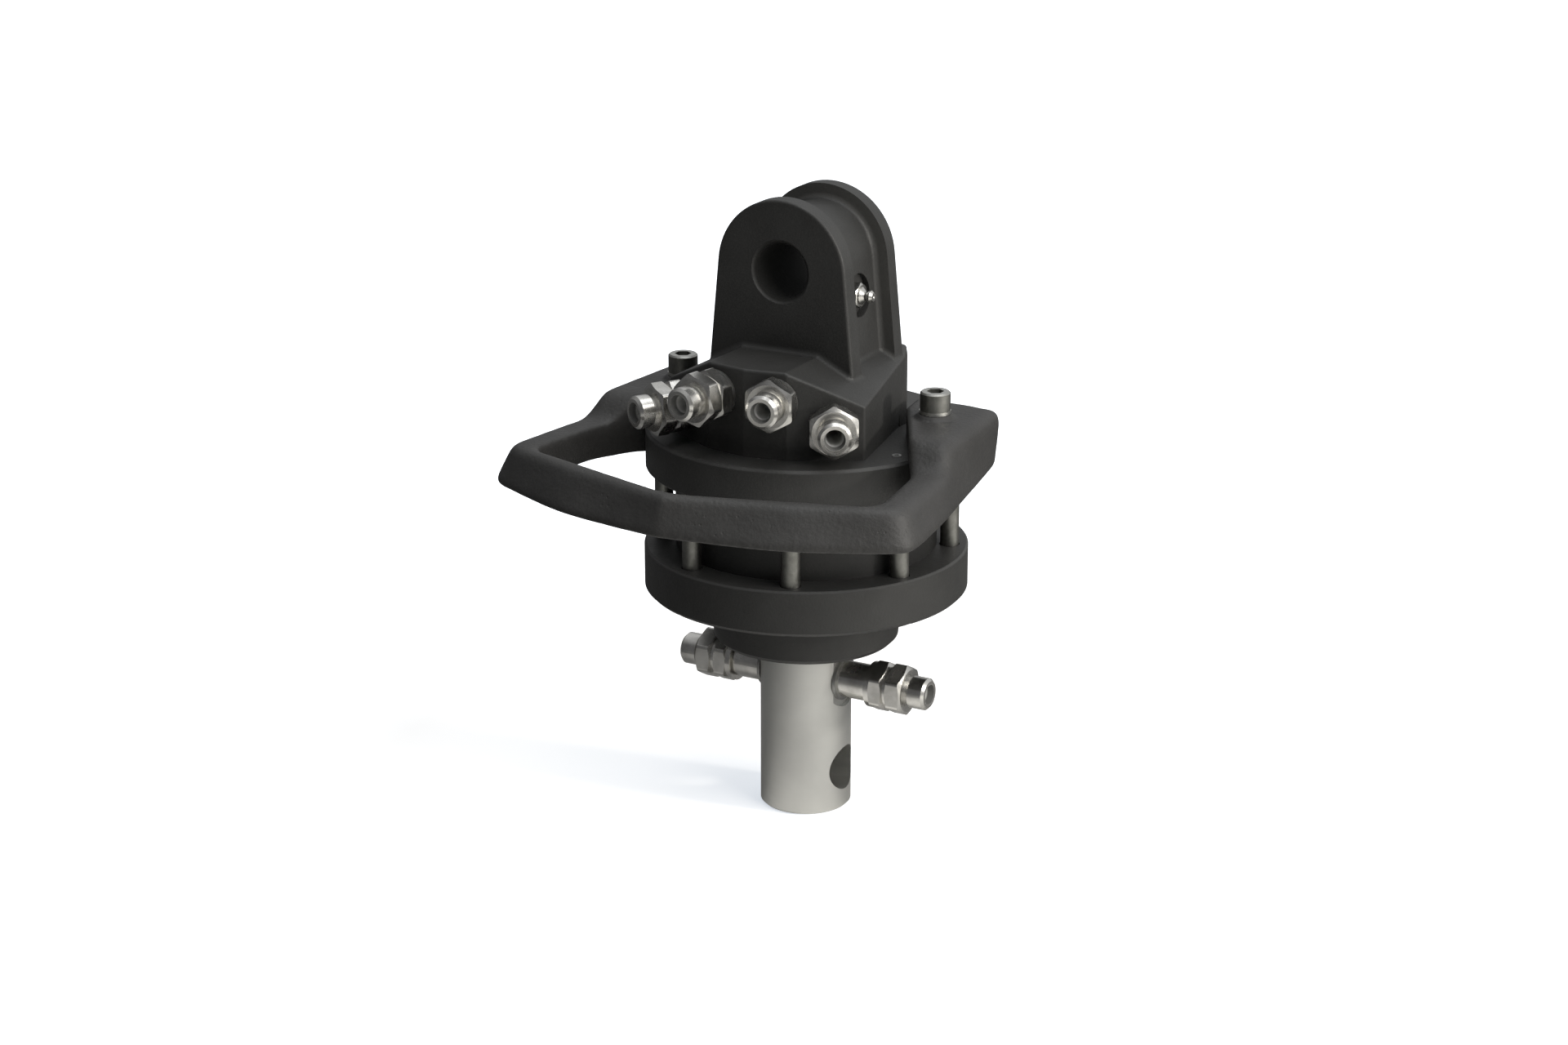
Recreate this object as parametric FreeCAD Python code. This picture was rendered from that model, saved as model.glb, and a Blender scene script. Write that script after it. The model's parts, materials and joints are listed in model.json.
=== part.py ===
import FreeCAD, Part
import math
import os
from FreeCAD import Vector

# Hydraulic rotator for a loader crane, all sizes in millimetres.
# The origin is the centre of the link pin bore, +Z is up along the turning axis,
# and the four hose ports and the hose guard face -Y.
# The stator (head, cam ring, lower cover, guard) hangs from the crane link,
# the rotor (shaft, rotor, vanes, shaft adapters) turns under it without end.

# Driving sizes, heights along the turning axis
link_to_flange = 89.0          # link bore centre down to the top of the head flange
flange_thickness = 22.0
cam_ring_height = 42.5
cover_thickness = 25.0
boss_length = 29.5             # seal boss under the lower cover
shaft_projection = 96.5        # free shaft below the boss

# Driving sizes, clamped stack of head, cam ring and cover
bolt_circle = 77.0
bolt_count = 8
bolt_radius = 5.0
bolt_head_radius = 8.0
bolt_head_height = 10.0
bolt_counterbore = 11.0
bolt_socket = 8.0              # across flats, also in the guard screws
bolt_tip_wall = 7.0            # left of the flange above the bolts
bolt_hole_gap = 0.5
flange_overhang = 8.8          # head flange beyond the bolt circle
cover_overhang = 10.0          # lower cover beyond the bolt circle
ring_to_bolt = 2.0             # open space between the cam ring and the bolts
dowel_radius = 3.0
dowel_depth = 9.0
static_seal_width = 3.2
static_seal_depth = 2.4
static_seal_wall = 2.4         # between the cam bore and the seal groove
fit_gap = 0.03                 # between pieces that are assembled and stay together
running_gap = 0.06             # between pieces that move on each other

# Driving sizes, head casting
link_bore_radius = 15.0
link_bore_chamfer = 2.0
lug_thickness = 58.0
lug_plate = 10.0               # rim plates of the I-shaped lug
lug_arch_radius = 37.5
lug_foot_half_width = 46.0     # half width of the lug where it meets the flange
lug_recess = 8.0               # how far the web lies inside the rim plates
lug_web_fillet = 3.0           # between the web and its rim plates
lug_foot_fillet = 3.0          # where the lug stands in the port block
block_height = 46.5            # flat top of the port block above the flange
block_apothem = 67.0           # axis to each of the four port faces
block_shoulder = 22.0          # half width of the flat top
block_shoulder_slope = 0.5     # fall of the shoulders for each millimetre outward
block_front_half = 58.0        # half width where the port faces end
block_rear_half = 43.5
block_rear_y = 50.0
block_rear_fall = 16.0         # how far the rear of the block lies below its flat top
block_fillet = 1.8
inner_face_angle = 10.0        # degrees from straight ahead
outer_face_angle = 30.0

# Driving sizes, ports and adapters in the head
inner_port = (17.0, 31.0)      # sideways place, and height above the flange, of the inner ports
outer_port = (44.0, 17.5)
port_thread_radius = 8.3
port_depth = 17.0
gallery_radius = 3.5
port_seal_radius = 12.4
port_seal_thickness = 2.0
adapter_hex = 25.0
hex_rounding = 0.10            # corner radius of a hexagon, as a part of its width
adapter_hex_length = 9.0
adapter_thread_radius = 8.75
adapter_bore_radius = 4.5
adapter_cone = 24.0            # full angle of the sealing cone in a free end
adapter_lip = 3.3              # from the outside of a thread to the mouth of its cone
adapter_second_turn = 14.0     # degrees between the two hexagons of a long adapter
adapter_short = 22.0           # port face to free end, right pair
adapter_long = 30.5            # the same, left pair
flange_plug_y = -28.5
flange_plug_wall = 4.0         # between the plug and the guard
flange_plug_radius = 2.5
flange_plug_length = 3.0

# Driving sizes, grease nipple in the side of the lug
nipple_drop = 15.0             # below the link bore centre
nipple_seat_depth = 2.0        # spot face below the surface of the web
nipple_pocket_radius = 11.5
nipple_hex = 12.0
nipple_thread_radius = 4.9

# Driving sizes, guard
guard_wing_rise = 14.5         # top of the wings above the flange
guard_bar_rise = 2.0           # top of the bar above the flange
guard_drop = 19.5              # underside of the guard, below the top of the flange
guard_rear_y = 33.0
guard_wing_half = 98.8        # half width of the wings at their rear end
guard_bar_half = 116.0         # half width of the bar at its corners
guard_corner_y = -114.0
guard_reach = 150.0            # turning axis to the crease in the middle of the bar
guard_flare = 9.0              # how far the bar leans out from its top to its underside
guard_bar_width = 8.0          # top of the bar at the crease
guard_side_width = 16.0        # top of the arms beside the bar
guard_bow = (0.53, 16.0, 135.0)  # corner of the bowed front: part of the half width, setback, radius
guard_inner_draft = 4.5        # how far the inside leans out below its lip
guard_lip = 3.0                # upright part of the inside, under the top of the bar
guard_inner_radius = 1.5       # along the inner top edge
guard_wing_gap = 49.0          # half width of the opening at the rear end of the wings
guard_edge_radius = 6.0        # along the outer top edge of bar, ramps and wings
guard_ramp = (-58.0, -34.0)    # where the wings climb from the bar to their full height
guard_seat_gap = 0.5           # around the rim of the flange
guard_screw_edge = 9.8         # guard screw to the rim of the flange
guard_boss_height = 2.4
guard_boss_radius = 9.2
guard_washer_radius = 8.3
guard_washer_thickness = 1.6
guard_screw_radius = 5.0
guard_screw_head_radius = 8.0
guard_screw_head_height = 10.0
guard_screw_tip_wall = 6.0     # left of the flange below the guard screws
guard_foot_chamfer = 3.0       # along the outer lower edge of the guard
guard_heel_radius = 5.0        # upright corners at the rear of the wings

# Driving sizes, vane motor
cam_small_radius = 50.0
cam_lift = 4.5
cam_lobes = 3
vane_count = 8
vane_thickness = 5.0
vane_depth = 13.0
vane_pocket = 3.2              # room for the spring behind a vane
spring_leaf = 0.8
spring_width = 3.6

# Driving sizes, shaft and bearings
shaft_radius = 24.75
seat_step = 0.75               # rotor seat below the shaft radius
journal_step = 4.0             # journal below the rotor seat
collar_step = 13.25            # collar beyond the shaft radius
collar_height = 6.5
thrust_ring_thickness = 5.0
bush_wall = 3.2
bush_length = 24.0
feed_bore_height = 44.0        # roof of the bore that feeds the shaft, above the flange
feed_groove_heights = (32.0, 20.5)
feed_groove_width = 6.0
feed_groove_depth = 3.0
feed_seal_width = 3.2
feed_seal_depth = 2.4
gallery_wall = 3.0             # between an upright drilling and the floor of a feed groove
gallery_plug_length = 6.0
rotor_key = (8.0, 7.0, 32.0)   # width, height, length
retainer_thickness = 2.0
retainer_step = 4.0            # split ring beyond the rotor seat
retainer_groove = 1.7
output_bore_radius = 12.5
output_bore_height = 23.3      # above the shaft end
seal_width = 8.25              # radial room for the shaft seal
seal_pocket_depth = 13.0
seal_case_height = 9.5         # from the roof of the pocket to the split ring
thrust_groove_width = 4.0
boss_wall = 17.0               # boss beyond the seal pocket, at its lower end
boss_taper = 2.5

# Driving sizes, adapters on the shaft
adapter_level = 75.0           # above the shaft end
spot_face_depth = 2.25
spot_face_radius = 15.5
nipple_stub_radius = 8.0       # thread inside the shaft
nipple_stub_length = 8.0
nipple_seal_radius = 12.0
nipple_seal_thickness = 1.6
nipple_radius = 10.0
nipple_thread_step = 1.6
nipple_length = 16.5           # from the shaft to the lock nut
locknut_length = 11.0
union_hex_length = 11.0
union_thread_length = 12.0
union_bore_radius = 4.0

# Heights that follow from the driving sizes
flange_top = -link_to_flange
motor_top = flange_top - flange_thickness
motor_bottom = motor_top - cam_ring_height
cover_bottom = motor_bottom - cover_thickness
boss_bottom = cover_bottom - boss_length
shaft_end = boss_bottom - shaft_projection
adapter_z = shaft_end + adapter_level
block_top = flange_top + block_height
guard_wing_top = flange_top + guard_wing_rise
guard_bar_top = flange_top + guard_bar_rise
guard_bottom = flange_top - guard_drop
feed_bore_top = flange_top + feed_bore_height
feed_groove_levels = [flange_top + height for height in feed_groove_heights]
journal_top = feed_bore_top - 3.0
upper_bush_top = motor_top + bush_length + 3.0
rotor_height = cam_ring_height - 2 * running_gap
collar_top = motor_bottom - running_gap
collar_bottom = collar_top - collar_height
thrust_seat = collar_bottom - running_gap - thrust_ring_thickness
retainer_bottom = motor_top - retainer_thickness - 2.8
seal_pocket_top = boss_bottom + seal_pocket_depth
seal_case_bottom = seal_pocket_top - seal_case_height

bolt_tip = flange_top - bolt_tip_wall
guard_screw_tip = motor_top + guard_screw_tip_wall

# Radii and places that follow
flange_radius = bolt_circle + flange_overhang
cover_radius = bolt_circle + cover_overhang
cam_ring_radius = bolt_circle - bolt_radius - ring_to_bolt
static_seal_radius = cam_small_radius + cam_lift + static_seal_wall + static_seal_width / 2
dowel_circle = (static_seal_radius + static_seal_width / 2 + cam_ring_radius) / 2
rotor_radius = cam_small_radius - running_gap
vane_inner = rotor_radius - vane_depth
slot_floor = vane_inner - vane_pocket
rotor_seat_radius = shaft_radius - seat_step
journal_radius = rotor_seat_radius - journal_step
collar_radius = shaft_radius + collar_step
retainer_radius = rotor_seat_radius + retainer_step
feed_groove_radius = journal_radius - feed_groove_depth
feed_seal_radius = journal_radius - feed_seal_depth
gallery_offset = feed_groove_radius - gallery_wall - gallery_radius
seal_pocket_radius = shaft_radius + seal_width
boss_bottom_radius = seal_pocket_radius + boss_wall
boss_top_radius = boss_bottom_radius + boss_taper
nipple_seat_x = lug_arch_radius - lug_recess - nipple_seat_depth
guard_screw_x = flange_radius - guard_screw_edge
nipple_seat = shaft_radius - spot_face_depth
nipple_end = shaft_radius + nipple_length
locknut_end = nipple_end + locknut_length
union_hex_end = locknut_end + union_hex_length
union_end = union_hex_end + union_thread_length


def cylinder(radius, low, high, x=0.0, y=0.0):
    """Upright cylinder between two heights."""
    return Part.makeCylinder(radius, high - low, Vector(x, y, low))


def tube(inner, outer, low, high):
    """Upright ring between two heights, on the turning axis."""
    return cylinder(outer, low, high).cut(cylinder(inner, low - 1, high + 1))


def revolved(points):
    """Solid of revolution about Z from (radius, height) corners."""
    wire = Part.makePolygon([Vector(r, 0, z) for r, z in points + points[:1]])
    return Part.Face(wire).revolve(Vector(), Vector(0, 0, 1), 360)


def prism(points, low, high):
    """Upright prism from (x, y) corners."""
    wire = Part.makePolygon([Vector(x, y, low) for x, y in points + points[:1]])
    return Part.Face(wire).extrude(Vector(0, 0, high - low))


def across(points, half):
    """Prism along Y from (x, z) corners, from -half to +half."""
    wire = Part.makePolygon([Vector(x, -half, z) for x, z in points + points[:1]])
    return Part.Face(wire).extrude(Vector(0, 2 * half, 0))


def rounded_wire(points, radii, height):
    """Closed wire at a height through corners, each rounded by its own radius (0 keeps it sharp)."""
    count = len(points)
    ends = []
    for k in range(count):
        corner = Vector(points[k][0], points[k][1], height)
        before = Vector(points[k - 1][0], points[k - 1][1], height)
        after = Vector(points[(k + 1) % count][0], points[(k + 1) % count][1], height)
        u = (before - corner).normalize()
        v = (after - corner).normalize()
        half = u.getAngle(v) / 2
        cut = radii[k] / math.tan(half)
        middle = corner + (u + v).normalize() * (radii[k] / math.sin(half) - radii[k])
        ends.append((corner + u * cut, middle, corner + v * cut))
    edges = []
    for k in range(count):
        start, middle, end = ends[k]
        if radii[k] > 0:
            edges.append(Part.Arc(start, middle, end).toShape())
        edges.append(Part.LineSegment(end, ends[(k + 1) % count][0]).toShape())
    return Part.Wire(edges)


def hexagon_corners(flats):
    """Corners of a hexagon about the origin, one of them towards +Y."""
    corner = flats / math.sqrt(3)
    turns = [math.radians(30 + 60 * k) for k in range(6)]
    return [(corner * math.cos(a), corner * math.sin(a)) for a in turns]


def hex_socket(flats, low, high):
    """What a hexagon key takes up, on Z."""
    return prism(hexagon_corners(flats), low, high)


def hexagon(flats, low, high):
    """Hexagon bar on Z with rounded corners, turned down at both ends."""
    outline = rounded_wire(hexagon_corners(flats), [hex_rounding * flats] * 6, low)
    bar = Part.Face(outline).extrude(Vector(0, 0, high - low))
    corner = flats / math.sqrt(3)
    turned = 0.92 * flats / 2
    drop = (corner - turned) * 0.55
    return bar.common(revolved([(0, low), (turned, low), (corner, low + drop), (corner, high - drop),
                                (turned, high), (0, high)]))


def aimed(shape, place, azimuth):
    """Lays a shape that was made along +Z level, to point along an azimuth: 0 is -Y, 90 is +X."""
    moved = shape.copy()
    lay = FreeCAD.Rotation(Vector(0, 0, 1), azimuth).multiply(FreeCAD.Rotation(Vector(1, 0, 0), 90))
    moved.Placement = FreeCAD.Placement(Vector(*place), lay)
    return moved


def mirrored(shape):
    """The same shape on the other side of the YZ plane."""
    return shape.mirror(Vector(), Vector(1, 0, 0))


def around(shape, count, first=0.0):
    """Copies of a shape, evenly spaced about the turning axis."""
    copies = []
    for k in range(count):
        turned = shape.copy()
        turned.rotate(Vector(), Vector(0, 0, 1), first + 360.0 * k / count)
        copies.append(turned)
    return copies


def fused(shapes):
    """One solid from shapes that overlap."""
    return shapes[0].multiFuse(shapes[1:]).removeSplitter()


def edges_where(shape, test):
    """Edges whose middle point passes a test."""
    found = []
    for edge in shape.Edges:
        middle = edge.valueAt((edge.FirstParameter + edge.LastParameter) / 2)
        if test(middle):
            found.append(edge)
    return found


def beside(wire, points):
    """True when all points lie within a few hundredths of a flat outline."""
    return all(wire.distToShape(Part.Vertex(point))[0] < 0.05 for point in points)


def save(node, shapes):
    """Writes one node, a single solid or a group of separate solids."""
    shape = shapes[0] if len(shapes) == 1 else Part.makeCompound(shapes)
    shape.exportStep("parts/" + node + ".step")


# Head casting

def lug_outline(inset, foot):
    """Closed outline of the lug in the XZ plane: an arch on two tapered sides."""
    radius = lug_arch_radius - inset
    slope = math.atan2(lug_foot_half_width - lug_arch_radius, link_to_flange)
    tangent = (radius * math.cos(slope), radius * math.sin(slope))
    foot_half = tangent[0] + (tangent[1] - foot) * math.tan(slope)
    right = Vector(tangent[0], 0, tangent[1])
    left = Vector(-tangent[0], 0, tangent[1])
    arch = Part.Arc(right, Vector(0, 0, radius), left).toShape()
    sides = Part.makePolygon([left, Vector(-foot_half, 0, foot), Vector(foot_half, 0, foot), right])
    return Part.Wire([arch] + sides.Edges)


def lug_slab(inset, front, rear, foot):
    """Slab of the lug outline between two Y positions."""
    face = Part.Face(lug_outline(inset, foot))
    face.translate(Vector(0, front, 0))
    return face.extrude(Vector(0, rear - front, 0))


def lug():
    half = lug_thickness / 2
    foot = flange_top - 5.0
    plates = []
    for side in (-1, 1):
        outer = side * half
        plate = lug_slab(0, min(outer, outer - side * lug_plate), max(outer, outer - side * lug_plate), foot)
        rim = edges_where(plate, lambda p: p.z > foot + 1 and abs(abs(p.y) - half) < 0.01)
        plates.append(plate.makeFillet(1.6, rim))
    web_half = half - lug_plate
    web = lug_slab(lug_recess, -web_half, web_half, foot)
    body = fused(plates + [web])
    outline = lug_outline(lug_recess, foot)
    roots = edges_where(body, lambda p: p.z > foot + 1 and abs(abs(p.y) - web_half) < 0.05
                        and beside(outline, [Vector(p.x, 0, p.z)]))
    return body.makeFillet(lug_web_fillet, roots)


def port_places():
    """Centre on its port face, and azimuth, of the four ports from -X to +X."""
    places = []
    for (x, height), angle in ((inner_port, inner_face_angle), (outer_port, outer_face_angle)):
        z = flange_top + height
        a = math.radians(angle)
        y = -(block_apothem - x * math.sin(a)) / math.cos(a)
        places.append((x, y, z, angle))
    inner, outer = places
    left = [(-x, y, z, -angle) for x, y, z, angle in (outer, inner)]
    return [(Vector(x, y, z), angle) for x, y, z, angle in left + [inner, outer]]


def outward(azimuth):
    """Level unit vector along an azimuth."""
    a = math.radians(azimuth)
    return Vector(math.sin(a), -math.cos(a), 0)


def port_block():
    """Faceted block that carries the ports, cut from three crossing prisms."""
    nose = block_apothem / math.cos(math.radians(inner_face_angle))
    turn = math.radians((inner_face_angle + outer_face_angle) / 2)
    reach = block_apothem / math.cos(math.radians((outer_face_angle - inner_face_angle) / 2))
    knee = (reach * math.sin(turn), -reach * math.cos(turn))
    a = math.radians(outer_face_angle)
    shoulder = (block_front_half, -(block_apothem - block_front_half * math.sin(a)) / math.cos(a))
    rear = [(block_rear_half, lug_thickness / 2), (block_rear_half - 9, block_rear_y)]
    right = [knee, shoulder] + rear
    plan = [(0.0, -nose)] + right + [(-x, y) for x, y in reversed(right)]
    low = flange_top - 5.0
    body = prism(plan, low, block_top + 1)
    wide = block_front_half + 4
    far = nose + 1
    fall = block_top - (wide - block_shoulder) * block_shoulder_slope
    body = body.common(across([(-wide, low), (wide, low), (wide, fall), (block_shoulder, block_top),
                               (-block_shoulder, block_top), (-wide, fall)], far))
    side = [(-far, low), (block_rear_y + 1, low), (block_rear_y + 1, block_top - block_rear_fall),
            (lug_thickness / 2, block_top + 1), (-far, block_top + 1)]
    face = Part.Face(Part.makePolygon([Vector(-wide, y, z) for y, z in side + side[:1]]))
    body = body.common(face.extrude(Vector(2 * wide, 0, 0)))
    return body.makeFillet(block_fillet, edges_where(body, lambda p: p.z > flange_top - 4))


def feed_galleries():
    """Drillings from the four ports: the inner pair feeds the shaft, the outer pair the motor."""
    holes = []
    ports = port_places()
    for (place, azimuth), level in zip(ports[1:3], feed_groove_levels):
        out = outward(azimuth)
        start = place - out * (port_depth - 3)
        end = Vector(place.x, place.y, level) - out * place.dot(out)
        way = end - start
        holes.append(Part.makeCylinder(gallery_radius, way.Length - journal_radius * 0.75, start, way))
    for place, azimuth in (ports[0], ports[3]):
        drop = place - outward(azimuth) * (port_depth - 1)
        holes.append(cylinder(gallery_radius, motor_top - 1, place.z, drop.x, drop.y))
    return holes


def static_seal_groove(face, side):
    """Ring groove for the seal at a face of the cam ring, side +1 above it and -1 below it."""
    half = static_seal_width / 2
    low, high = sorted((face - side, face + side * static_seal_depth))
    return tube(static_seal_radius - half, static_seal_radius + half, low, high)


def foot_edges(body):
    """The inner corners where the lug grows out of the top of the port block."""
    low = block_top - (block_rear_half - block_shoulder) * block_shoulder_slope - 1.0
    found = edges_where(body, lambda p: low < p.z < block_top + 0.1 and abs(p.x) < block_rear_half - 0.5
                        and abs(p.y) < lug_thickness / 2 + 0.05)
    return [edge for edge in found if all(low < v.Z < block_top + 0.1 for v in edge.Vertexes)]


def head_casting():
    flange = revolved([(0, motor_top), (flange_radius - 1.2, motor_top), (flange_radius, motor_top + 1.2),
                       (flange_radius, flange_top - 1.5), (flange_radius - 1.5, flange_top), (0, flange_top)])
    head = fused([lug(), port_block(), flange])
    head = head.makeFillet(lug_foot_fillet, foot_edges(head))
    half = lug_thickness / 2
    mouth = link_bore_radius + link_bore_chamfer
    cuts = [Part.makeCylinder(link_bore_radius, lug_thickness + 2, Vector(0, -half - 1, 0), Vector(0, 1, 0))]
    for side in (-1, 1):
        cuts.append(Part.makeCone(mouth + 1, link_bore_radius, link_bore_chamfer + 1,
                                  Vector(0, side * (half + 1), 0), Vector(0, -side, 0)))
    cuts.append(aimed(cylinder(nipple_pocket_radius, 0, 20), (nipple_seat_x, 0, -nipple_drop), 90))
    cuts.append(aimed(cylinder(nipple_thread_radius + fit_gap, -8, 1), (nipple_seat_x, 0, -nipple_drop), 90))
    inner_end = Vector(nipple_seat_x - 7, 0, -nipple_drop)
    cuts.append(Part.makeCylinder(1.5, inner_end.Length - link_bore_radius + 2, inner_end, -inner_end))
    for place, azimuth in port_places():
        cuts.append(aimed(cylinder(port_thread_radius, -port_depth, 5), place, azimuth))
    cuts += feed_galleries()
    cuts.append(cylinder(journal_radius, motor_top - 1, feed_bore_top))
    cuts.append(cylinder(journal_radius + bush_wall, motor_top - 1, upper_bush_top))
    cuts.append(static_seal_groove(motor_top, 1))
    cuts += around(cylinder(bolt_radius + fit_gap, motor_top - 1, bolt_tip + 1, 0, -bolt_circle),
                   bolt_count, 180.0 / bolt_count)
    for side in (-1, 1):
        cuts.append(cylinder(dowel_radius, motor_top - 1, motor_top + dowel_depth + 1, side * dowel_circle, 0))
        cuts.append(cylinder(guard_screw_radius + fit_gap, guard_screw_tip - 1, flange_top + 1,
                             side * guard_screw_x, 0))
    cuts.append(cylinder(flange_plug_radius + fit_gap, flange_top - flange_plug_length - 0.5, flange_top + 1,
                         *flange_plug_place()))
    return head.cut(cuts)


def port_seals():
    seal = tube(port_thread_radius + 0.2, port_seal_radius, 0, port_seal_thickness)
    return [aimed(seal, place, azimuth) for place, azimuth in port_places()]


def thread_end(low, high, radius, bore):
    """Free end of an adapter: a relief, the thread, and the sealing cone in its mouth."""
    mouth = radius - adapter_lip
    depth = (mouth - bore) / math.tan(math.radians(adapter_cone / 2))
    return revolved([(bore, low), (radius - 1.1, low), (radius - 1.1, low + 1.6), (radius, low + 2.4),
                     (radius, high - 1.4), (radius - 1.4, high), (mouth, high), (bore, high - depth)])


def port_adapter(length, hexagons):
    """Adapter from port thread to hose thread, made along +Z from the port face."""
    low = port_seal_thickness
    screwed = tube(adapter_bore_radius, port_thread_radius - fit_gap, 3.5 - port_depth, low - 0.8)
    neck = tube(adapter_bore_radius, port_thread_radius - 1.0, low - 0.8, low)
    pieces = [screwed, neck]
    for k in range(hexagons):
        hexed = hexagon(adapter_hex, low, low + adapter_hex_length)
        hexed.rotate(Vector(), Vector(0, 0, 1), k * adapter_second_turn)
        pieces.append(hexed.cut(cylinder(adapter_bore_radius, 0, length)))
        low += adapter_hex_length
    pieces.append(thread_end(low, length, adapter_thread_radius, adapter_bore_radius))
    return fused(pieces)


def port_adapters(length, hexagons, ports):
    return [aimed(port_adapter(length, hexagons), place, azimuth) for place, azimuth in ports]


def flange_plug_place():
    """Place on the strip of the flange between the port block and the guard."""
    _, _, (x0, y0, _), (x1, y1, _), _ = guard_opening()
    edge = x0 + (x1 - x0) * (flange_plug_y - y0) / (y1 - y0)
    return (edge - flange_plug_wall - flange_plug_radius, flange_plug_y)


def flange_plug():
    place = flange_plug_place()
    plug = cylinder(flange_plug_radius, flange_top - flange_plug_length, flange_top + 0.3, *place)
    socket = hex_socket(2.5, flange_top - 1.5, flange_top + 2)
    socket.translate(Vector(*place, 0))
    return plug.cut(socket)


def grease_nipple():
    """Grease nipple made along +Z from its seat: thread, hexagon, neck and ball head."""
    body = revolved([(1.3, -6.5), (nipple_thread_radius, -6.5), (nipple_thread_radius, 0), (1.3, 0)])
    hexed = hexagon(nipple_hex, 0, 5.0).cut(cylinder(1.3, -1, 6))
    head = revolved([(0, 3.5), (4.6, 3.5), (4.6, 5.6), (2.4, 7.4), (2.4, 8.6), (3.3, 9.6), (3.3, 10.6),
                     (2.2, 12.0), (0.8, 12.0), (0, 11.4)])
    return aimed(fused([body, hexed, head]), (nipple_seat_x, 0, -nipple_drop), 90)


# Guard, a cast loop in front of the ports

def guard_outline(half, height):
    """Closed wire at a height from the corners of the +X half, (x, y, corner radius)."""
    left = [(-x, y, radius) for x, y, radius in reversed(half) if x > 0]
    corners = half + left
    return rounded_wire([(x, y) for x, y, _ in corners], [radius for _, _, radius in corners], height)


def soft_outline(half, height):
    """The same with each side as one smooth curve, pointed only at the middle of the front and the heels."""
    places = [Vector(x, y, height) for x, y, _ in half]
    poles = [places[0]]
    for before, corner, after, (_, _, radius) in zip(places, places[1:], places[2:], half[1:]):
        into = (corner - before).normalize()
        away = (after - corner).normalize()
        reach = 1.5 * radius * math.tan(into.getAngle(away) / 2)
        poles += [corner - into * reach, corner, corner + away * reach] if radius > 0 else [corner]
    poles.append(places[-1])
    spans = len(poles) - 3
    sides = []
    for points in (poles, [Vector(-p.x, p.y, p.z) for p in reversed(poles)]):
        side = Part.BSplineCurve()
        counts = [4] + [1] * (spans - 1) + [4]
        side.buildFromPolesMultsKnots(points, counts, list(range(spans + 1)), False, 3)
        sides.append(side.toShape())
    rear = Part.LineSegment(places[-1], Vector(-places[-1].x, places[-1].y, height)).toShape()
    return Part.Wire([sides[0], rear, sides[1]])


def guard_levels():
    """Outlines of the guard at its underside and its wing tops: arched below, creased in front above."""
    slim = guard_bar_half - 7.0
    bow, setback, radius = guard_bow
    top = [(0.0, -guard_reach, 0.0), (bow * guard_bar_half, -guard_reach + setback, radius),
           (guard_bar_half, guard_corner_y, 14.0), (slim, guard_corner_y + 54.0, 0.0),
           (slim - 3.0, -34.0, 0.0), (guard_wing_half, guard_rear_y, 0.0)]
    low = [(0.0, -guard_reach - guard_flare + 1.0, 0.0), (bow * guard_bar_half + 1.0, -guard_reach, radius),
           (guard_bar_half + guard_flare, guard_corner_y - guard_flare + 3.4, 18.0),
           (slim + guard_flare - 1.0, guard_corner_y + 51.7, 0.0),
           (slim + 1.5, -34.0, 0.0), (guard_wing_half - 2.4, guard_rear_y, 0.0)]
    rise = (guard_wing_top - guard_bottom) / (guard_bar_top - guard_bottom)
    crest = [(a[0] + (b[0] - a[0]) * rise, a[1] + (b[1] - a[1]) * rise, b[2]) for a, b in zip(low, top)]
    return [(low, guard_bottom), (crest, guard_wing_top)]


def guard_opening(lean=0.0):
    """Corners of the +X half of the opening, (x, y, corner radius), moved out by a lean of its walls."""
    side = guard_bar_half - guard_side_width + lean
    gap = guard_wing_gap + lean
    return [(0.0, -guard_reach + guard_bar_width - lean, 0.0), (side, guard_corner_y + 2.5 - lean, 10.0),
            (side - 8.0, guard_corner_y + 54.0, 30.0), (gap + 5.5, guard_rear_y - 24.0, 12.0),
            (gap - 2.0, guard_rear_y + 27.0, 0.0)]


def guard_ramp_cutter():
    """Everything above the side view of the guard: flat bar, curved ramp, flat wings."""
    front, rear = guard_ramp
    middle = (front + rear) / 2
    x = -guard_bar_half - 40
    curve = Part.BezierCurve()
    curve.setPoles([Vector(x, front, guard_bar_top), Vector(x, middle, guard_bar_top),
                    Vector(x, middle, guard_wing_top), Vector(x, rear, guard_wing_top)])
    far, high = guard_reach + 60, guard_wing_top + 60
    around = [(rear, guard_wing_top), (far, guard_wing_top), (far, high),
              (-far, high), (-far, guard_bar_top), (front, guard_bar_top)]
    rest = Part.makePolygon([Vector(x, y, z) for y, z in around])
    return Part.Face(Part.Wire([curve.toShape()] + rest.Edges)).extrude(Vector(-2 * x, 0, 0))


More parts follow.
